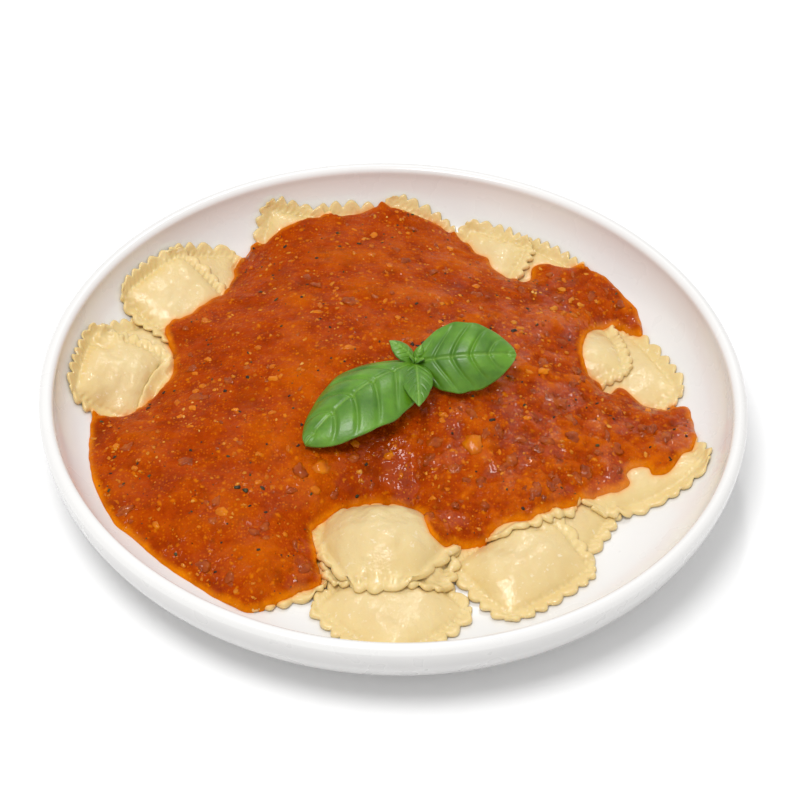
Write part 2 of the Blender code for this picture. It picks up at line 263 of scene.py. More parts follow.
glaze = Finish("glazed_stoneware", Coat_Weight=0.5, Coat_Roughness=0.12, Specular_IOR_Level=0.4)
cloud = glaze.grain(18, 2)
glazed = glaze.ramp(cloud, (0.3, (0.78, 0.77, 0.755)), (0.7, (0.81, 0.80, 0.785)))
# Painted shade: surfaces that face downward, such as the outer wall where it turns under to the foot, are
# coloured a darker grey.
facing = glaze.add("ShaderNodeSeparateXYZ")
glaze.link(glaze.add("ShaderNodeNewGeometry").outputs["Normal"], facing.inputs["Vector"])
painted_shade_below = glaze.ramp(glaze.halved(facing.outputs["Z"]), (0.38, 1), (0.56, 0))
glaze.colour(glaze.mix(painted_shade_below, glazed, (0.60, 0.59, 0.58)))
glaze.shine(glaze.grain(60, 3), 0.22, 0.34)
glaze.bump(glaze.grain(60, 1), 0.02 * MM, 0.4)

mesh = bpy.data.meshes.new("stoneware_plate")
mesh.from_pydata([(r, 0, z) for r, z in section], [(k, k + 1) for k in range(len(section) - 1)], [])
mesh.materials.append(glaze.material)
plate = bpy.data.objects.new("stoneware_plate", mesh)
bpy.context.scene.collection.objects.link(plate)
turning = plate.modifiers.new("turned", "SCREW")
turning.steps = turning.render_steps = PLATE_STEPS
turning.use_merge_vertices = True
turning.merge_threshold = WELD
turning.use_smooth_shade = True
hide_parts("plate")
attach(plate, "root")

# ---------------------------------------------------------------------------------------
# The ravioli
# Two sheets of egg pasta round a soft filling, pressed together and cut with a fluted
# wheel. Each cooked square sinks onto the plate and the squares under it, and bends.

FLUTE_DEPTH = 2.5 * MM
FLUTE_REACH = 3 * MM
LOBE_MIDDLE = 0.55
BORDER = 4.6 * MM
SEAL = 2.0 * MM
SEAM = 4.3 * MM
SEAM_WIDTH = 1.5 * MM
CRIMP = 2.6 * MM
CRIMP_HEIGHT = 0.45 * MM
FRILL_REACH = 3.5 * MM
SHEET = 0.9 * MM
LEAST_SHEET = 0.8 * MM
EDGE_ROUNDING = 1.5 * MM
CORNER_ROUNDING = 0.10
CORNER_REACH = 3.2 * MM
CORNER_TRIM = 1.3 * MM
START_LIFT = 4 * MM
REST_GAP = 0.15 * MM
CELLS = 64
COARSE = 16
SMOOTHING_ROUNDS = 90
ABOVE_ALL = 0.2
NOTHING_BELOW = -1.0


class Pile:
    """All that lies in the plate so far, as one surface that the next piece rests on."""

    def __init__(self):
        self.points = np.zeros((0, 3))
        self.faces = []

    def add(self, item):
        bpy.context.view_layer.update()
        shape = item.evaluated_get(bpy.context.evaluated_depsgraph_get()).to_mesh()
        points = np.empty(len(shape.vertices) * 3)
        shape.vertices.foreach_get("co", points)
        first = len(self.points)
        self.faces += [[first + i for i in p.vertices] for p in shape.polygons]
        self.points = np.vstack((self.points, points.reshape(-1, 3)))
        self.surface = BVHTree.FromPolygons(self.points.tolist(), self.faces)

    def below(self, x, y):
        """Where a line straight down through (x, y) first meets the pile, and its slope there."""
        return self.surface.ray_cast(Vector((x, y, ABOVE_ALL)), Vector((0, 0, -1)))[:2]

    def under(self, points):
        """Height of the pile under each point, as an array of the same shape."""
        flat = points.reshape(-1, points.shape[-1])
        found = np.full(len(flat), NOTHING_BELOW)
        for k, point in enumerate(flat.tolist()):
            hit = self.below(point[0], point[1])[0]
            if hit is not None:
                found[k] = hit[2]
        return found.reshape(points.shape[:-1])


def relaxed(height):
    """Each point of a grid brought to the mean height of its neighbours."""
    wide = np.pad(height, 1, mode="reflect", reflect_type="odd")
    return (wide[2:, 1:-1] + wide[:-2, 1:-1] + wide[1:-1, 2:] + wide[1:-1, :-2]) / 4


def lobes(along, seed, flute):
    """The fluted wheel's edge: round lobes with narrow notches, 1 in a lobe and 0 in a notch."""
    wander = 0.16 * np.sin(along / (4.1 * MM) + seed) + 0.12 * np.sin(along / (9 * MM) + 2 * seed)
    return np.abs(np.cos(math.pi * (along / flute + wander + 0.37 * seed))) ** 0.75


def lie_of(node):
    """Middle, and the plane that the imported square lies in."""
    low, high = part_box(node)
    points = np.array([v.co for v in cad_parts[node].data.vertices])
    middle = np.array((low + high) / 2)[:2]
    places = np.column_stack((points[:, :2] - middle, np.ones(len(points))))
    slope_x, slope_y, height = np.linalg.lstsq(places, points[:, 2], rcond=None)[0]
    return np.array((*middle, height)), Vector((-slope_x, -slope_y, 1)).normalized()


def sunk(flat, up, pile, height, rounds, sag, stiff):
    """Heights above the flat grid at which it rests on the pile without cutting into it."""
    for _ in range(rounds):
        for _ in range(stiff):
            height = relaxed(height)
        points = flat + height[..., None] * up
        room = (points[..., 2] - pile.under(points)) * up[2]
        height = height + np.maximum(-room, 0) - np.clip(room, 0, sag)
    return height


def lumps(x, y, size, seed):
    """Smooth hills and hollows between -1 and 1, about size across."""
    flat = np.column_stack((x.ravel() / size, y.ravel() / size))
    values = [noise.fractal(Vector((a, b, seed * 7.3)), 0.8, 2.0, 2) for a, b in flat.tolist()]
    return np.array(values).reshape(x.shape)


def sheet_faces(rows, columns):
    """Quads of the upper grid, the lower grid and the rim between them."""
    index = np.arange(rows * columns).reshape(rows, columns)
    quads = np.stack((index[:-1, :-1], index[1:, :-1], index[1:, 1:], index[:-1, 1:]), -1).reshape(-1, 4)
    rim = np.concatenate((index[:-1, 0], index[-1, :-1], index[:0:-1, -1], index[0, :0:-1]))
    after = np.roll(rim, -1)
    below = rows * columns
    wall = np.column_stack((rim + below, after + below, after, rim))
    return np.vstack((quads, quads[:, ::-1] + below, wall))


class PastaSquare:
    """The plan of one square as a grid of points, each with its distance in from the edges."""

    def __init__(self, long, wide, narrow, cells):
        line = np.linspace(-1, 1, cells + 1)
        self.s, self.t = np.meshgrid(line, line, indexing="ij")
        self.half_long, self.half_wide = long / 2, wide / 2
        rounded_x = self.s * (1 - CORNER_ROUNDING * self.t**2)
        self.x = rounded_x * (1 - narrow * np.maximum(0, -self.t)) * self.half_long
        self.y = self.t * (1 - CORNER_ROUNDING * self.s**2) * self.half_wide
        self.in_x = (1 - np.abs(self.s)) * self.half_long
        self.in_y = (1 - np.abs(self.t)) * self.half_wide
        self.inset = np.minimum(self.in_x, self.in_y)

    def cut(self, seed, flute, fluting):
        """Cuts the edges with the fluted wheel and rounds the corners off."""
        lobe_x, lobe_y = lobes(self.y, seed, flute), lobes(self.x, seed + 0.5, flute)
        self.uneven = fluting * (1 + 0.5 * lumps(self.x, self.y, 8 * MM, seed + 60))
        corner = np.exp(-((np.hypot(self.in_x, self.in_y) / CORNER_REACH) ** 2))

        def shifted(side, lobe, inward):
            shift = FLUTE_DEPTH * (lobe - LOBE_MIDDLE) * self.uneven
            shift = shift * np.exp(-((inward / FLUTE_REACH) ** 1.5)) * (1 - corner)
            return np.sign(side) * (shift - CORNER_TRIM * corner)

        self.x = self.x + shifted(self.s, lobe_x, self.in_x)
        self.y = self.y + shifted(self.t, lobe_y, self.in_y)
        beside = self.in_x < self.in_y
        self.along = np.where(beside, self.y, self.x)
        self.lobe = np.where(beside, lobe_x, lobe_y)

    def rough(self, size, seed):
        """Smooth unevenness between -1 and 1 over the square."""
        return lumps(self.x, self.y, size, seed)

    def near_line(self, start, end, width):
        """1 on the line between two places of the square, fading out within the width."""
        size = np.array((self.half_long, self.half_wide))
        way = (np.array(end) - np.array(start)) * size
        away = (np.stack((self.s, self.t), -1) - np.array(start)) * size
        along = np.clip((away @ way) / (way @ way), 0, 1)
        away = np.linalg.norm(away - along[..., None] * way, axis=-1)
        return np.exp(-((away / width) ** 2))

    def near_spot(self, s, t, radius):
        """1 at a place of the square, fading out within the radius."""
        away = np.hypot((self.s - s) * self.half_long, (self.t - t) * self.half_wide)
        return np.exp(-((away / radius) ** 2))


def filled_share(square):
    """How full of filling the square is at each point, 0 in the border and 1 in the middle."""
    core_x = np.clip(1 - (square.in_x - BORDER) / (square.half_long - BORDER), 0, 1)
    core_y = np.clip(1 - (square.in_y - BORDER) / (square.half_wide - BORDER), 0, 1)
    return ((1 - core_x**2.6) * (1 - core_y**2.6)) ** 0.85


def pasta_thickness(square, share, seed, belly, extra):
    """The sealed border, the crimps along it, the filling, and the folds of this one square."""
    rise = SEAL + (belly - SEAL) * share * (1 + 0.16 * square.rough(13 * MM, seed))
    rise = rise + 0.35 * MM * share * square.rough(5 * MM, seed + 20)
    seam = np.exp(-(((square.inset - SEAM) / SEAM_WIDTH) ** 2))
    crimp = np.clip(0.6 + 0.9 * square.rough(15 * MM, seed + 9), 0, 1.2) * extra["crimp"]
    slant = square.along + 0.5 * square.inset * (1 + seed % 2)
    rise = rise + CRIMP_HEIGHT * seam * crimp * np.cos(2 * math.pi * slant / CRIMP + seed)
    rise = rise - 0.35 * MM * seam
    puffed = np.exp(-((square.inset / (2.8 * MM)) ** 2)) * square.uneven
    rise = rise + 0.8 * MM * (square.lobe - 0.5) * puffed
    wrinkled = 0.4 + np.exp(-square.inset / (4 * MM))
    rise = rise + 0.3 * MM * square.rough(3.2 * MM, seed + 80) * wrinkled
    for s, t, radius, depth in extra["dents"]:
        rise = rise - depth * MM * square.near_spot(s, t, radius * MM)
    for start, end, width, lift in extra["creases"]:
        rise = rise + lift * MM * square.near_line(start, end, width * MM)
    return np.maximum(rise, SHEET)


def make_raviolo(node, seed, long, wide, turn, belly, narrow, extra, pile, material):
    """One square, sunk onto the pile at its place in the frame."""
    extra = PLAIN | extra
    long, wide, belly, turn = long * MM, wide * MM, belly * MM, math.radians(turn)
    middle, up = lie_of(node)
    ahead = Vector((math.cos(turn), math.sin(turn), 0))
    ahead = (ahead - up * ahead.dot(up)).normalized()
    aside = np.array(up.cross(ahead))
    ahead, up = np.array(ahead), np.array(up)

    rough = PastaSquare(long, wide, narrow, COARSE)
    flat = middle + rough.x[..., None] * ahead + rough.y[..., None] * aside
    height = sunk(flat, up, pile, np.full(rough.x.shape, START_LIFT), 30, 0.6 * MM, 2)
    fine_line = np.linspace(0, COARSE, CELLS + 1)
    spread = np.maximum(0, 1 - np.abs(fine_line[:, None] - np.arange(COARSE + 1)))
    height = spread @ height @ spread.T

    square = PastaSquare(long, wide, narrow, CELLS)
    square.cut(seed, extra["flute"] * MM, extra["fluting"])
    flat = middle + square.x[..., None] * ahead + square.y[..., None] * aside
    height = sunk(flat, up, pile, height, 6, 0.1 * MM, extra["stiff"])
    border = np.exp(-square.inset / FRILL_REACH)
    height = height + border * extra["frill"] * MM * np.maximum(0, 0.5 + square.rough(9 * MM, seed + 40))
    points = flat + height[..., None] * up
    room = (points[..., 2] - pile.under(points)) * up[2]
    height = height + np.maximum(REST_GAP - room, 0)

    share = filled_share(square)
    rise = pasta_thickness(square, share, seed, belly, extra)
    soft = height
    for _ in range(SMOOTHING_ROUNDS):
        soft = relaxed(soft)
    bed = height + (soft - height) * np.clip(share * 1.6, 0, 1)
    edge = np.clip(square.inset / EDGE_ROUNDING, 0, 1)
    upper = bed + rise * (0.5 + 0.5 * np.sqrt(1 - (1 - edge) ** 2))
    upper = np.maximum(upper, height + LEAST_SHEET)
    lower = height + 0.35 * MM * (1 - edge)
    sides = [(flat + side[..., None] * up).reshape(-1, 3) for side in (upper, lower)]
    piece = mesh_object("pasta_" + node[-2:], np.vstack(sides), sheet_faces(CELLS + 1, CELLS + 1), material)
    filled = piece.data.attributes.new("filled", "FLOAT", "POINT")
    filled.data.foreach_set("value", np.concatenate((share.ravel(), share.ravel() * 0)))
    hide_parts(node)
    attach(piece, "root")
    return piece


dough = Finish(
    "egg_pasta", Subsurface_Weight=0.25, Subsurface_Scale=1.6 * MM, Subsurface_Radius=(1.0, 0.6, 0.25),
    Coat_Weight=0.5, Coat_Roughness=0.1, Specular_IOR_Level=0.4,
)
patches = dough.ramp(dough.grain(55, 4, 0.55), (0.3, (0.69, 0.49, 0.185)), (0.7, (0.78, 0.62, 0.30)))
filling = dough.ramp(dough.worn("filled"), (0.0, (0.76, 0.575, 0.25)), (1.0, (0.73, 0.57, 0.31)))
flour = dough.mix(0.5, patches, filling)
grit = dough.ramp(dough.grain(420, 3, 0.6), (0.62, 0), (0.72, 1))
flour = dough.mix(grit, flour, (0.82, 0.68, 0.44))
stained = dough.ramp(dough.worn("stain"), (0.0, 0), (1.0, 1))
dough.colour(dough.mix(stained, flour, (0.86, 0.30, 0.02)))
dough.shine(dough.grain(160, 3), 0.26, 0.5)
blisters = dough.bump(dough.grain(330, 3, 0.6), 0.5 * MM, 0.55)
dough.bump(dough.grain(1100, 3, 0.6), 0.2 * MM, 0.6, blisters)

# A plain square: the width of its flutes (mm) and their depth, the depth of its crimps, its
# border's frill (mm), its stiffness, its dents (place, radius, depth) and its creases
# (start, end, width, lift). Places run from -1 to 1 along and across the square.
PLAIN = {"flute": 6.4, "fluting": 1.0, "crimp": 1.0, "frill": 0.5, "stiff": 5, "dents": (), "creases": ()}
# Length and width (mm), turn (degrees), belly (mm), how much the near edge narrows, and
# where the square differs from a plain one.
SQUARES = {
    "raviolo_01": (40, 38, 35, 7.5, 0.0, {}),
    "raviolo_02": (38, 38, 20, 7.0, 0.0, {}),
    "raviolo_03": (38, 36, 6, 7.0, 0.0, {}),
    "raviolo_04": (40, 36, -36, 7.0, 0.0, {"frill": 1.2, "flute": 4.6}),
    "raviolo_05": (50, 38, -62, 6.5, 0.0, {}),
    "raviolo_06": (40, 40, -29, 6.5, 0.0, {}),
    "raviolo_07": (49, 49, 45, 7.5, 0.0, {"dents": ((0.52, -0.1, 2.5, 1.2), (-0.2, 0.3, 5, 0.9))}),
    "raviolo_08": (40, 36, 20, 7.0, 0.0, {}),
    "raviolo_09": (49, 42, 39, 9.0, 0.0, {"creases": (
        ((-0.37, 0.47), (-0.68, -0.16), 3.2, 0.8), ((-0.51, -0.18), (0.72, -0.11), 3.4, 0.7),
        ((0.45, 1.0), (0.52, 0.4), 2.8, -1.6), ((0.1, 0.1), (0.6, 0.2), 4, -0.9),
    )}),
    "raviolo_10": (50, 40, -4, 7.5, 0.0, {}),
    "raviolo_11": (56, 40, 25, 8.0, 0.0, {"creases": (((-0.79, 0.05), (-0.36, -0.22), 2, 1.5),)}),
    "raviolo_12": (42, 38, 25, 7.5, 0.0, {"flute": 5.4}),
    "raviolo_13": (42, 38, 84, 8.0, 0.0, {
        "creases": (
            ((0.88, 0.98), (0.80, 0.25), 1.7, 2.8), ((0.56, 0.86), (0.50, 0.45), 1.9, -2.6),
            ((0.1, 0.6), (0.0, -0.4), 4, 0.6),
        ),
        "dents": ((-0.7, 0.0, 5, 1.8),), "flute": 5.0, "crimp": 1.6,
    }),
    "raviolo_14": (40, 40, 72, 8.0, 0.0, {"fluting": 0.1, "crimp": 0.0}),
    "raviolo_15": (41, 41, 52, 8.5, 0.0, {
        "dents": ((0.2, 0.2, 9, 1.2),), "flute": 5.0, "fluting": 0.8, "crimp": 1.5,
    }),
    "raviolo_16": (36, 38, -6, 8.0, 0.0, {"flute": 5.2}),
    "raviolo_17": (38, 38, -28, 8.0, 0.0, {"flute": 5.2}),
    "raviolo_18": (36, 37, -25, 8.0, 0.0, {"frill": 2.0, "flute": 4.6}),
    "raviolo_19": (40, 42, 14, 8.0, 0.0, {"flute": 4.0, "fluting": 0.7}),
    "raviolo_20": (55, 50, 0, 10.0, 0.5, {
        "stiff": 40, "flute": 8.4, "crimp": 0.25, "fluting": 0.75,
        "creases": (((-0.38, -0.62), (0.24, -0.48), 1.3, 0.5), ((0.3, -0.4), (0.6, 0.0), 2.5, -0.6)),
    }),
}

pile = Pile()
pile.add(plate)
ravioli = []
for seed, (node, (long, wide, turn, belly, narrow, extra)) in enumerate(SQUARES.items()):
    piece = make_raviolo(node, seed, long, wide, turn, belly, narrow, extra, pile, dough.material)
    pile.add(piece)
    ravioli.append(piece)

# ---------------------------------------------------------------------------------------
# The sauce
# Tomato sauce with minced meat, simmered thick and ladled over the middle. It runs down
# between the squares to the plate's wall and ends in a thin, rounded, oily orange edge.

SAUCE_EDGE = (
    (-117, -2), (-114, -31), (-103, -56), (-94, -63), (-81, -75), (-56, -92), (-48, -94),
    (-37, -88), (-32, -84), (-24, -79), (-28, -60), (-27, -52), (-15, -42), (1, -38), (11, -47),
    (15, -62), (22, -63), (25, -60), (29, -60), (37, -57), (39, -53), (49, -51), (53, -51),
    (64, -44), (70, -42), (73, -37), (88, -30), (91, -27), (90, -23), (93, -20), (98, -20),
    (100, -23), (106, -22), (112, -13), (116, -10), (118, -1), (117, 11), (115, 17), (110, 18),
    (107, 16), (103, 18), (98, 19), (90, 26), (85, 24), (81, 29), (77, 33), (75, 43), (80, 59),
    (89, 63), (100, 56), (98, 70), (86, 87), (75, 94), (68, 93), (61, 95), (56, 93), (55, 87),
    (49, 86), (40, 91), (37, 97), (32, 102), (28, 109), (16, 118), (2, 121), (-8, 123), (-26, 117),
    (-35, 115), (-55, 103), (-61, 102), (-68, 90), (-68, 83), (-71, 72), (-76, 64), (-86, 54),
    (-91, 51), (-93, 46), (-88, 32), (-90, 18), (-96, 11), (-100, 5), (-113, 0),
)
SAUCE_STEP = 0.75 * MM
BASE_STEP = 3 * MM
OUTLINE_STEP = 0.7 * MM
OUTLINE_PARTS = 3
RIPPLE = 0.45 * MM
TRIANGLE_ROW = 0.866
FILM = 1.9 * MM
FILM_EDGE = 0.25 * MM
EDGE_WIDTH = 3.6 * MM
GRID_STEP = 1.0 * MM
GRID_X = (-124 * MM, 125 * MM)
GRID_Y = (-104 * MM, 132 * MM)
COARSE_STEP = 4
DOME_ROUNDS = 1800
DOME_PUSH = 0.055 * MM
SETTLING_ROUNDS = 160
LIFT = 0.2 * MM
SOAK = 0.15 * MM


def flowing_outline(corners, step):
    """A closed smooth line through the corners, in steps of about one length."""
    corners = np.array(corners) * MM
    before, after = np.roll(corners, 1, 0), np.roll(corners, -1, 0)
    later = np.roll(corners, -2, 0)
    points = []
    for a, b, c, d in zip(before, corners, after, later):
        for t in np.linspace(0, 1, max(2, round(math.dist(b, c) / step)), endpoint=False):
            square, cube = 2 * a - 5 * b + 4 * c - d, 3 * b - a - 3 * c + d
            points.append(0.5 * (2 * b + (c - a) * t + square * t**2 + cube * t**3))
    points = np.array(points)
    ahead = np.roll(points, -1, 0) - np.roll(points, 1, 0)
    aside = np.column_stack((ahead[:, 1], -ahead[:, 0])) / np.linalg.norm(ahead, axis=1)[:, None]
    return points + aside * (RIPPLE * lumps(points[:, 0], points[:, 1], 6 * MM, 71))[:, None]


def within(points, outline):
    """Which points lie inside the outline."""
    inside = np.zeros(len(points), bool)
    for (x0, y0), (x1, y1) in zip(outline, np.roll(outline, -1, 0)):
        crossed = (y0 > points[:, 1]) != (y1 > points[:, 1])
        if crossed.any():
            at = x0 + (points[:, 1] - y0) * (x1 - x0) / (y1 - y0 if y1 != y0 else 1)
            inside ^= crossed & (points[:, 0] < at)
    return inside


def from_edge(points, tree):
    """Distance of each point from the outline."""
    return np.array([tree.find((x, y, 0))[2] for x, y in points.tolist()])


def net_of(outline, step, tree):
    """Evenly spread points over the outline's inside, joined as triangles."""
    low, high = outline.min(0), outline.max(0)
    rows = []
    for k, y in enumerate(np.arange(low[1], high[1], step * TRIANGLE_ROW)):
        row = np.arange(low[0] + (k % 2) * step / 2, high[0], step)
        rows.append(np.column_stack((row, np.full(len(row), y))))
    inner = np.vstack(rows)
    inner = inner[within(inner, outline)]
    inner = inner[from_edge(inner, tree) > step * 0.6]
    points = np.vstack((outline, inner))
    result = delaunay_2d_cdt([Vector(p) for p in points.tolist()], [], [range(len(outline))], 1, 1e-8)
    return np.array([tuple(p) for p in result[0]]), np.array(result[2])


outline = flowing_outline(SAUCE_EDGE, OUTLINE_STEP)
edge_tree = KDTree(len(outline) * OUTLINE_PARTS)
ahead = (np.roll(outline, -1, 0) - outline) / OUTLINE_PARTS
for k in range(OUTLINE_PARTS):
    for n, (x, y) in enumerate((outline + ahead * k).tolist()):
        edge_tree.insert((x, y, 0), k * len(outline) + n)
edge_tree.balance()

grid_x = np.arange(*GRID_X, GRID_STEP)
grid_y = np.arange(*GRID_Y, GRID_STEP)
grid = np.stack(np.meshgrid(grid_x, grid_y, indexing="ij"), -1)
ground = pile.under(grid)
covered = within(grid.reshape(-1, 2), outline).reshape(ground.shape)
reach = from_edge(grid.reshape(-1, 2), edge_tree).reshape(ground.shape)


def bead(distance):
    """How full the sauce's rounded edge is, 0 at the outline and 1 where it reaches its depth."""
    return np.sqrt(1 - (1 - np.clip(distance / EDGE_WIDTH, 0, 1)) ** 2)


def blend(values, row, column):
    """Values of a grid between its points."""
    row = np.clip(row, 0, values.shape[0] - 1.001)
    column = np.clip(column, 0, values.shape[1] - 1.001)
    i, j = row.astype(int), column.astype(int)
    a, b = row - i, column - j
    return (
        values[i, j] * (1 - a) * (1 - b) + values[i + 1, j] * a * (1 - b)
        + values[i, j + 1] * (1 - a) * b + values[i + 1, j + 1] * a * b
    )


def poured(ground, covered, reach, peak):
    """The sauce's surface: a stretched dome that nowhere thins below a film."""
    bowl = ground[::COARSE_STEP, ::COARSE_STEP].copy()
    wet = covered[::COARSE_STEP, ::COARSE_STEP]
    dome = bowl.copy()
    for _ in range(DOME_ROUNDS):
        dome = np.where(wet, relaxed(dome) + DOME_PUSH, bowl)
    rows = np.linspace(0, (ground.shape[0] - 1) / COARSE_STEP, ground.shape[0])
    columns = np.linspace(0, (ground.shape[1] - 1) / COARSE_STEP, ground.shape[1])
    dome = blend(dome, rows[:, None] + 0 * columns, columns + 0 * rows[:, None])
    dome = np.where(dome > 0, dome, 0)
    over = dome[covered].max()
    foot = np.percentile(dome[covered & (reach < 2 * MM)], 50)
    dome = np.where(dome > foot, foot + (dome - foot) * (peak - foot) / (over - foot), dome)
    least = ground + FILM_EDGE + (FILM - FILM_EDGE) * bead(reach)
    surface = np.where(covered, np.maximum(dome, least), ground)
    for _ in range(SETTLING_ROUNDS):
        surface = np.where(covered, np.maximum(relaxed(surface), least), ground)
    return surface


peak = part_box("sauce")[1].z
surface = poured(ground, covered, reach, peak)


def level_at(points, values):
    """Height of the grid at each point."""
    return blend(values, (points[:, 0] - grid_x[0]) / GRID_STEP, (points[:, 1] - grid_y[0]) / GRID_STEP)


def coarse_part(points):
    """Where the meat has gathered: towards the front right, less to the left."""
    side = np.clip((points[:, 0] / MM - 0.5 * points[:, 1] / MM + 20) / 90, 0, 1)
    return 0.25 + 0.75 * side


top, top_faces = net_of(outline, SAUCE_STEP, edge_tree)
rim = len(outline)
depth_in = from_edge(top, edge_tree)
calm = np.clip(depth_in / (7 * MM), 0, 1)
chunky = coarse_part(top)
x, y = top[:, 0], top[:, 1]
relief = 0.8 * MM * lumps(x, y, 26 * MM, 51) + 0.9 * MM * lumps(x, 1.7 * y, 22 * MM, 57)
relief += 1.15 * MM * chunky * lumps(x, y, 9 * MM, 52)
relief += 0.5 * MM * (0.3 + chunky) * lumps(x, y, 3.4 * MM, 53)
relief += 0.8 * MM * chunky * np.maximum(0, lumps(x, y, 5 * MM, 54)) ** 0.7
relief += 0.7 * MM * chunky * (0.35 - np.abs(lumps(x, y, 4.2 * MM, 55)))
height = level_at(top, surface) + relief * calm
resting = pile.under(top)
height = np.maximum(height, resting + LIFT + 0.9 * MM * bead(depth_in))
height[:rim] = resting[:rim] + LIFT

base, base_faces = net_of(outline, BASE_STEP, edge_tree)
lowest = np.minimum(pile.under(base), level_at(base, ground)) - SOAK
points = np.vstack((np.column_stack((top, height)), np.column_stack((base, lowest))))
edge = np.arange(rim)
after = np.roll(edge, -1)
flip = -1 if np.cross(*(top[top_faces[0]][1:] - top[top_faces[0]][0])) < 0 else 1
faces = top_faces[:, ::flip].tolist() + (base_faces[:, ::-flip] + len(top)).tolist()
faces += np.column_stack((edge, edge + len(top), after + len(top), after)).tolist()

tomato = Finish(
    "meat_and_tomato_sauce", Subsurface_Weight=0.15, Subsurface_Scale=1.5 * MM, Coat_Roughness=0.04,
    Subsurface_Radius=(1.0, 0.25, 0.05), Specular_IOR_Level=0.05, Specular_Tint=(1, 0.5, 0.2, 1),
    Coat_IOR=1.5,
)


def granules(finish, scale, size, share):
    """Small soft-edged grains, scale of them per metre, in a share of the cells."""
    cells = finish.add("ShaderNodeTexVoronoi")
    cells.inputs["Scale"].default_value = scale
    swirl = finish.add("ShaderNodeTexNoise")
    swirl.inputs["Scale"].default_value = scale * 0.8
    finish.link(finish.place, swirl.inputs["Vector"])
    push = finish.add("ShaderNodeVectorMath", operation="MULTIPLY_ADD")
    push.inputs[1].default_value = (1.1 / scale,) * 3
    finish.link(swirl.outputs["Color"], push.inputs[0])
    finish.link(finish.place, push.inputs[2])
    finish.link(push.outputs["Vector"], cells.inputs["Vector"])
    pick = finish.add("ShaderNodeSeparateColor")
    finish.link(cells.outputs["Color"], pick.inputs["Color"])
    chosen = finish.ramp(pick.outputs["Red"], (1 - share, 0), (1 - share + 0.02, 1))
    body = finish.ramp(cells.outputs["Distance"], (size * 0.35, 1), (size, 0))
    return finish.mix(1.0, chosen, body, "MULTIPLY")


pulp = tomato.ramp(
    tomato.grain(110, 6, 0.7), (0.32, (0.24, 0.022, 0.0001)), (0.5, (0.36, 0.040, 0.0001)),
    (0.68, (0.44, 0.066, 0.0002)),
)
brown = tomato.ramp(tomato.grain(170, 5, 0.7), (0.56, 0), (0.72, 0.6))
pulp = tomato.mix(brown, pulp, (0.17, 0.026, 0.0006))
pulp = tomato.mix(granules(tomato, 900, 0.5, 0.4), pulp, (0.50, 0.095, 0.0004))
large_grains = granules(tomato, 380, 0.42, 0.2)
pulp = tomato.mix(large_grains, pulp, (0.56, 0.14, 0.001))
pulp = tomato.mix(granules(tomato, 480, 0.16, 0.35), pulp, (0.03, 0.010, 0.001))
# Painted light and shade from the sauce's relief: crests are painted a lighter orange as painted highlight,
# and hollows a darker red-brown as painted shade.
painted_relief_light = tomato.ramp(tomato.worn("painted_relief_light"), (0.5, 0), (0.95, 0.75))
pulp = tomato.mix(painted_relief_light, pulp, (0.60, 0.125, 0.0003))
painted_hollow_shade = tomato.ramp(tomato.worn("painted_relief_light"), (0.12, 0.75), (0.45, 0))
pulp = tomato.mix(painted_hollow_shade, pulp, (0.19, 0.020, 0.0002))
thin = tomato.worn("thin")
tomato.colour(tomato.mix(thin, pulp, (0.72, 0.20, 0.001)))
tomato.shine(tomato.grain(240, 3), 0.34, 0.5)
wet = tomato.ramp(tomato.worn("oily"), (0.2, 0.12), (0.8, 1))
patchy = tomato.ramp(tomato.grain(75, 2, 0.5), (0.48, 0.05), (0.58, 0.75))
tomato.link(tomato.mix(1.0, wet, patchy, "MULTIPLY"), tomato.shader.inputs["Coat Weight"])
ripples = tomato.bump(tomato.grain(330, 3, 0.6), 1.4 * MM, 0.8)
tomato.bump(large_grains, 0.25 * MM, 0.6, ripples)
tomato.bump(tomato.grain(330, 1, 0.5), 1.3 * MM, 1.0, sockets=("Coat Normal",))

sauce = mesh_object("meat_and_tomato_sauce", points, faces, tomato.material)
film = np.clip(1 - depth_in / (2.6 * MM) + 0.35 * lumps(x, y, 7 * MM, 58), 0, 1) ** 1.3
# The relief height that the painted highlight on crests and the painted shade in hollows are read from.
crests = 0.5 + relief / (4 * MM)
for name, above, below in (("thin", film, 1.0), ("painted_relief_light", crests, 0.5), ("oily", chunky, 0.0)):
    mark = sauce.data.attributes.new(name, "FLOAT", "POINT")
    mark.data.foreach_set("value", np.concatenate((above, np.full(len(base), below))))
for piece in ravioli:
    stain = piece.data.attributes.new("stain", "FLOAT", "POINT")
    where = np.array([v.co for v in piece.data.vertices])
    stain.data.foreach_set("value", np.exp(-from_edge(where[:, :2], edge_tree) / (0.8 * MM)) * 0.7)
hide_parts("sauce")
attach(sauce, "root")
pile.add(sauce)

# ---------------------------------------------------------------------------------------
# What floats in the sauce
# Crumbs of browned minced meat, soft bits of carrot and onion, paler grains of cheese and
# garlic, and cracked pepper with dried herbs. All of it is half sunk and coated with sauce.


def pebbles(name, places, radii, rough, level, sinking, rng, material):
    """Irregular lumps at the places on the sauce, joined as one piece; sinking is the share under."""
    ball = bmesh.new()
    bmesh.ops.create_icosphere(ball, subdivisions=level, radius=1)
    unit = np.array([v.co for v in ball.verts])
    corners = np.array([[v.index for v in f.verts] for f in ball.faces])
    ball.free()
    points, faces = [], []
    for n, ((x, y), size) in enumerate(zip(places, radii)):
        spot, normal = pile.below(x, y)
        own_noise = Vector((n * 3.1, 0, 5.0))
        wobble = [1 + rough * noise.noise(Vector(p) * 1.7 + own_noise) for p in unit.tolist()]
        lump = unit * np.array(wobble)[:, None] * np.array(size)
        turn = normal.to_track_quat("Z", "Y").to_matrix() @ Matrix.Rotation(rng.uniform(0, 6.3), 3, "Z")
        lump = lump @ np.array(turn).T
        points.append(lump + np.array(spot + normal * size[2] * (1 - 2 * sinking)))
        faces.append(corners + n * len(unit))
    piece = mesh_object(name, np.vstack(points), np.vstack(faces), material)
    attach(piece, "root")
    return piece


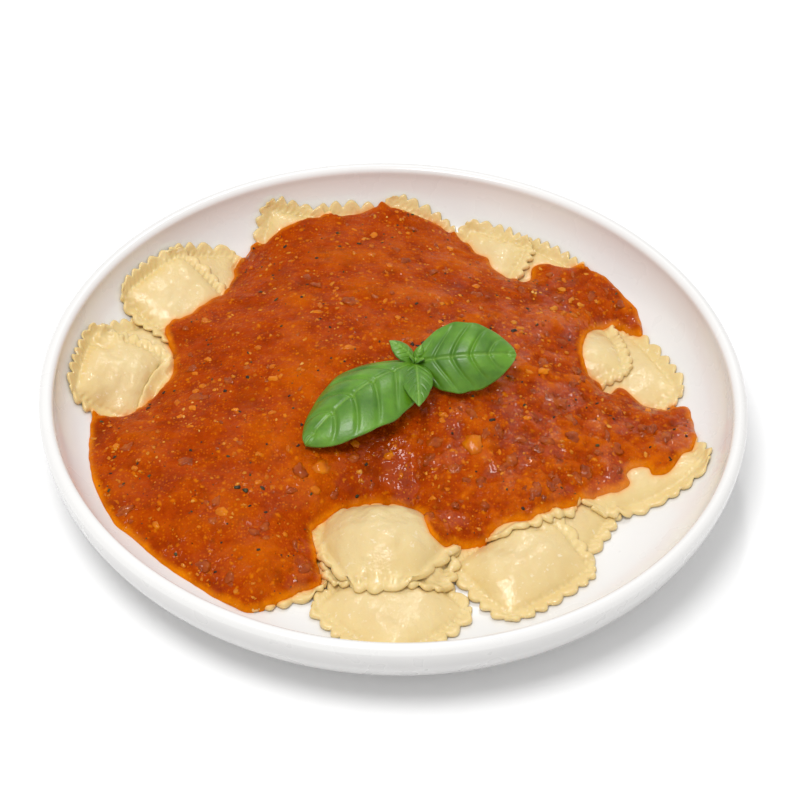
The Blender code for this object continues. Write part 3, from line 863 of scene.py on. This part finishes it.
def strewn(count, margin, rng, gathered=True):
    """Random places on the sauce, at least margin from its edge."""
    places = []
    while len(places) < count:
        spots = rng.uniform(outline.min(0), outline.max(0), (count, 2))
        keep = within(spots, outline) & (from_edge(spots, edge_tree) > margin)
        if gathered:
            keep &= rng.uniform(0, 1, count) < coarse_part(spots)
        places += spots[keep].tolist()
    return places[:count]


def sizes(count, small, large, flatness, rng):
    """Three radii for each lump; most are small."""
    radius = small + (large - small) * rng.uniform(0, 1, count) ** 2.2
    return [(r * rng.uniform(0.9, 1.5), r * rng.uniform(0.7, 1.0), r * flatness) for r in radius]


def to_metres(places):
    """Places in millimetres as places in metres."""
    return [(x * MM, y * MM) for x, y in places]


rng = np.random.default_rng(11)
mince = Finish(
    "browned_mince_in_sauce", Subsurface_Weight=0.1, Subsurface_Scale=1 * MM, Coat_Weight=0.5,
    Coat_Roughness=0.08, Coat_IOR=1.5, Specular_IOR_Level=0.1, Specular_Tint=(1, 0.6, 0.4, 1),
)
mince.colour(mince.ramp(
    mince.grain(260, 4), (0.3, (0.21, 0.030, 0.0005)), (0.5, (0.33, 0.050, 0.0005)),
    (0.75, (0.44, 0.10, 0.003)),
))
mince.shine(mince.grain(300, 3), 0.3, 0.5)
mince.bump(mince.grain(700, 1), 0.35 * MM, 0.8)
MEAT_LUMPS = (
    (-21, -40), (-67, -76), (34, -35), (49, -14), (56, -19), (64, -23), (30, -6), (41, -12), (100, -2),
    (105, -7), (15, -52), (-19, 53), (-57, -82), (-34, -34), (65, 8), (41, -30), (45, -25), (92, 0),
    (70, -12), (24, -30), (74, -28), (60, -36), (54, -40), (-46, -60), (80, 76), (66, 70), (86, -14),
)
MEAT_CRUMBS = 170
places = to_metres(MEAT_LUMPS) + strewn(MEAT_CRUMBS, 3 * MM, rng)
lump_sizes = [(r * MM, r * 0.8 * MM, r * 0.62 * MM) for r in rng.uniform(2.2, 3.8, len(MEAT_LUMPS))]
lump_sizes += sizes(MEAT_CRUMBS, 0.9 * MM, 3.0 * MM, 0.7, rng)
meat = pebbles("minced_meat", places, lump_sizes, 0.5, 3, 0.78, rng, mince.material)

soft = Finish(
    "soft_vegetable_in_sauce", Subsurface_Weight=0.2, Subsurface_Scale=1.5 * MM, Coat_Weight=0.6,
    Coat_Roughness=0.1, Coat_IOR=1.33, Specular_IOR_Level=0.1, Specular_Tint=(1, 0.6, 0.3, 1),
)
soft.colour(soft.ramp(soft.grain(140, 3), (0.35, (0.48, 0.10, 0.0005)), (0.65, (0.66, 0.19, 0.001))))
soft.shine(soft.grain(300, 3), 0.3, 0.45)
soft.bump(soft.grain(500, 3), 0.15 * MM, 0.5)
CHUNKS = (
    ((-26, -32), 3.8), ((31, -20), 4.6), ((-62, -55), 2.6), ((-1, -24), 2.2), ((-28, -41), 2.2),
    ((58, 22), 2.4),
)
VEGETABLE_BITS = 120
places = to_metres(place for place, _ in CHUNKS) + strewn(VEGETABLE_BITS, 3 * MM, rng, False)
lump_sizes = [(r * MM, r * 0.8 * MM, r * 0.55 * MM) for _, r in CHUNKS]
lump_sizes += sizes(VEGETABLE_BITS, 0.7 * MM, 1.9 * MM, 0.6, rng)
chunks = pebbles("vegetable_bits", places, lump_sizes, 0.35, 3, 0.72, rng, soft.material)

pale = Finish(
    "cheese_and_garlic_grains", Subsurface_Weight=0.2, Subsurface_Scale=1 * MM, Coat_Weight=0.6,
    Coat_Roughness=0.1, Coat_IOR=1.33, Specular_IOR_Level=0.1, Specular_Tint=(1, 0.6, 0.3, 1),
)
pale.colour(pale.ramp(
    pale.grain(160, 3), (0.35, (0.46, 0.10, 0.002)), (0.6, (0.60, 0.21, 0.012)),
    (0.8, (0.76, 0.46, 0.12)),
))
pale.shine(pale.grain(300, 3), 0.3, 0.5)
pale.bump(pale.grain(500, 3), 0.12 * MM, 0.5)
CHEESE = ((47, 49), (50, 46), (68, 78), (71, 71), (75, 70), (68, 61), (72, 61), (64, 64), (78, 66))
CHEESE_SIZE = (2.0 * MM, 1.2 * MM, 0.8 * MM)
PALE_GRAINS = 620
places = to_metres(CHEESE) + strewn(PALE_GRAINS, 1.6 * MM, rng, False)
lump_sizes = [CHEESE_SIZE] * len(CHEESE) + sizes(PALE_GRAINS, 0.35 * MM, 1.0 * MM, 0.6, rng)
grains = pebbles("pale_grains", places, lump_sizes, 0.6, 2, 0.66, rng, pale.material)

pepper = Finish("pepper_and_dried_herbs", Specular_IOR_Level=0.3)
pepper.colour(pepper.ramp(pepper.grain(120, 2), (0.45, (0.022, 0.010, 0.004)), (0.62, (0.05, 0.045, 0.01))))
pepper.shine(pepper.grain(300, 3), 0.35, 0.6)
pepper.bump(pepper.grain(900, 2), 0.1 * MM, 0.5)
CORNS = ((-54, -45), (-57, -44), (47, 43), (38, -8), (-13, -5))
CORN_SIZE = (1.3 * MM, 0.8 * MM, 0.5 * MM)
FLECKS = 330
places = to_metres(CORNS) + strewn(FLECKS, 1.5 * MM, rng, False)
lump_sizes = [CORN_SIZE] * len(CORNS) + sizes(FLECKS, 0.22 * MM, 0.75 * MM, 0.45, rng)
flecks = pebbles("pepper_and_herbs", places, lump_sizes, 0.7, 2, 0.5, rng, pepper.material)
for piece in (meat, chunks, grains, flecks):
    pile.add(piece)

# ---------------------------------------------------------------------------------------
# The basil
# The tip of a fresh sprig: two large leaves, two small ones and the buds between them, all
# on one short stem end. The leaves are glossy, thin and puffed up between their ribs.

LEAF_THICKNESS = 0.6 * MM
LEAF_ROWS = 90
LEAF_COLUMNS = 49
SPRIG_MIDDLE = (8 * MM, 11 * MM, 0)
SPRIG_GAP = 0.2 * MM
STEM_SIDES = 16
# Height and radius (mm) of the rings up the stem end.
STEM_RINGS = ((-5.0, 1.0), (-4.7, 1.25), (-3, 1.3), (-1, 1.4), (0.2, 1.7), (1.2, 1.3), (1.8, 0.4))
# Length, width (mm), heading, rise, roll (degrees), cupping, bluntness, curl (mm), ribs.
LEAVES = (
    (56, 34, -138, -10, 6, 0.20, 0.62, 1.5, 4),
    (39, 28, 3, 6, 34, 0.14, 0.62, 3.0, 4),
    (25, 12, -86, 2, 0, 0.16, 0.75, 0.5, 5),
    (13, 8, 150, 24, 0, 0.20, 0.85, 0.5, 4),
    (7, 4.0, 60, 55, 10, 0.30, 0.9, 0.2, 3),
    (6, 3.5, -40, 48, -10, 0.30, 0.9, 0.2, 3),
    (5, 3.0, -150, 60, 0, 0.30, 0.9, 0.2, 3),
)


def leaf_points(length, width, heading, rise, roll, cupping, blunt, curl, ribs, seed):
    """The upper side of a leaf, row by row from its stalk to its tip, and its rib pattern."""
    turn, lift, lean = math.radians(heading), math.radians(rise), math.radians(roll)
    ahead = Vector((math.cos(turn) * math.cos(lift), math.sin(turn) * math.cos(lift), math.sin(lift)))
    flat_side = Vector((-math.sin(turn), math.cos(turn), 0))
    side = flat_side * math.cos(lean) + ahead.cross(flat_side) * math.sin(lean)
    above = np.array(ahead.cross(side))
    ahead, side = np.array(ahead), np.array(side)
    s, across = np.meshgrid(np.linspace(0, 1, LEAF_ROWS), np.linspace(-1, 1, LEAF_COLUMNS), indexing="ij")
    half = np.maximum(width / 2 * np.abs(np.sin(math.pi * s**0.85)) ** blunt, 0.5 * (1 - s) + 0.05)
    half = half * (1 + 0.012 * np.sin(s * 31 + seed) + 0.012 * np.sin(s * 17 + 2 * seed))
    branch = (s - 0.30 * np.abs(across) ** 1.4 * (1 - 0.5 * s)) * (ribs + 1.5)
    groove = np.exp(-((np.abs(np.sin(math.pi * branch)) / 0.28) ** 2))
    puff = (1 - groove * (1 - np.abs(across) ** 4)) * np.sin(math.pi * s) ** 0.5
    rib = np.exp(-((across * half / 0.6) ** 2))
    height = 0.10 * length * np.sin(math.pi * s) - half * cupping * 2 * across**2
    height += 0.042 * width * puff - 0.026 * width * rib
    height += curl * np.sin(s * 9 + across * 2 + seed) * np.abs(across) ** 2 * 0.35
    spine = ahead * (length * s)[..., None] + side * (half * across)[..., None]
    return (spine + above * height[..., None]) * MM, above, puff, rib


leaf_green = Finish(
    "basil_leaf", Subsurface_Weight=0.15, Subsurface_Scale=1 * MM, Subsurface_Radius=(0.3, 1.0, 0.1),
    Coat_Weight=0.4, Coat_Roughness=0.3, Specular_IOR_Level=0.4,
)
blade = leaf_green.ramp(leaf_green.grain(110, 4), (0.3, (0.045, 0.150, 0.002)), (0.7, (0.12, 0.30, 0.008)))
veins = leaf_green.ramp(leaf_green.worn("puff"), (0.0, 0.4), (0.6, 0))
blade = leaf_green.mix(veins, blade, (0.16, 0.34, 0.03))
ribs_seen = leaf_green.ramp(leaf_green.worn("rib"), (0.2, 0), (1.0, 0.5))
blade = leaf_green.mix(ribs_seen, blade, (0.22, 0.42, 0.05))
leaf_green.colour(leaf_green.mix(leaf_green.worn("underside"), blade, (0.20, 0.36, 0.11)))
leaf_green.shine(leaf_green.grain(260, 3), 0.34, 0.5)
leaf_green.bump(leaf_green.grain(900, 3), 0.15 * MM, 0.6)

leaf_point_lists, leaf_faces, puffs, rib_marks, undersides = [], [], [], [], []
count = 0
for seed, leaf in enumerate(LEAVES):
    upper, above, puff, rib = leaf_points(*leaf, seed)
    lower = upper - above * LEAF_THICKNESS
    leaf_point_lists += [upper.reshape(-1, 3), lower.reshape(-1, 3)]
    leaf_faces.append(sheet_faces(LEAF_ROWS, LEAF_COLUMNS) + count)
    count += 2 * LEAF_ROWS * LEAF_COLUMNS
    puffs += [puff.ravel(), puff.ravel()]
    rib_marks += [rib.ravel(), rib.ravel()]
    undersides += [np.zeros(puff.size), np.ones(puff.size)]
turns = np.linspace(0, 2 * math.pi, STEM_SIDES + 1)[:-1]
rings = [[(r * math.cos(a) * MM, r * math.sin(a) * MM, h * MM) for a in turns] for h, r in STEM_RINGS]
leaf_point_lists.append(np.array(rings).reshape(-1, 3))
stem_count = len(STEM_RINGS) * STEM_SIDES
index = np.arange(stem_count).reshape(-1, STEM_SIDES) + count
stem_faces = np.stack(
    (index[:-1], np.roll(index[:-1], -1, 1), np.roll(index[1:], -1, 1), index[1:]), -1
).reshape(-1, 4)
ends = [index[0][::-1].tolist(), index[-1].tolist()]
for marks, value in ((puffs, 0.5), (rib_marks, 1.0), (undersides, 0.0)):
    marks.append(np.full(stem_count, value))

sprig_points = np.vstack(leaf_point_lists) + np.array(SPRIG_MIDDLE)
room = sprig_points[:, 2] - pile.under(sprig_points[:, :2])
sprig_points[:, 2] += SPRIG_GAP - room[:-stem_count].min()
sprig_faces = np.vstack(leaf_faces).tolist() + stem_faces.tolist() + ends
sprig = mesh_object("basil_leaves", sprig_points, sprig_faces, leaf_green.material)
for name, marks in (("puff", puffs), ("rib", rib_marks), ("underside", undersides)):
    sprig.data.attributes.new(name, "FLOAT", "POINT").data.foreach_set("value", np.concatenate(marks))
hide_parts("basil_sprig")
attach(sprig, "root")
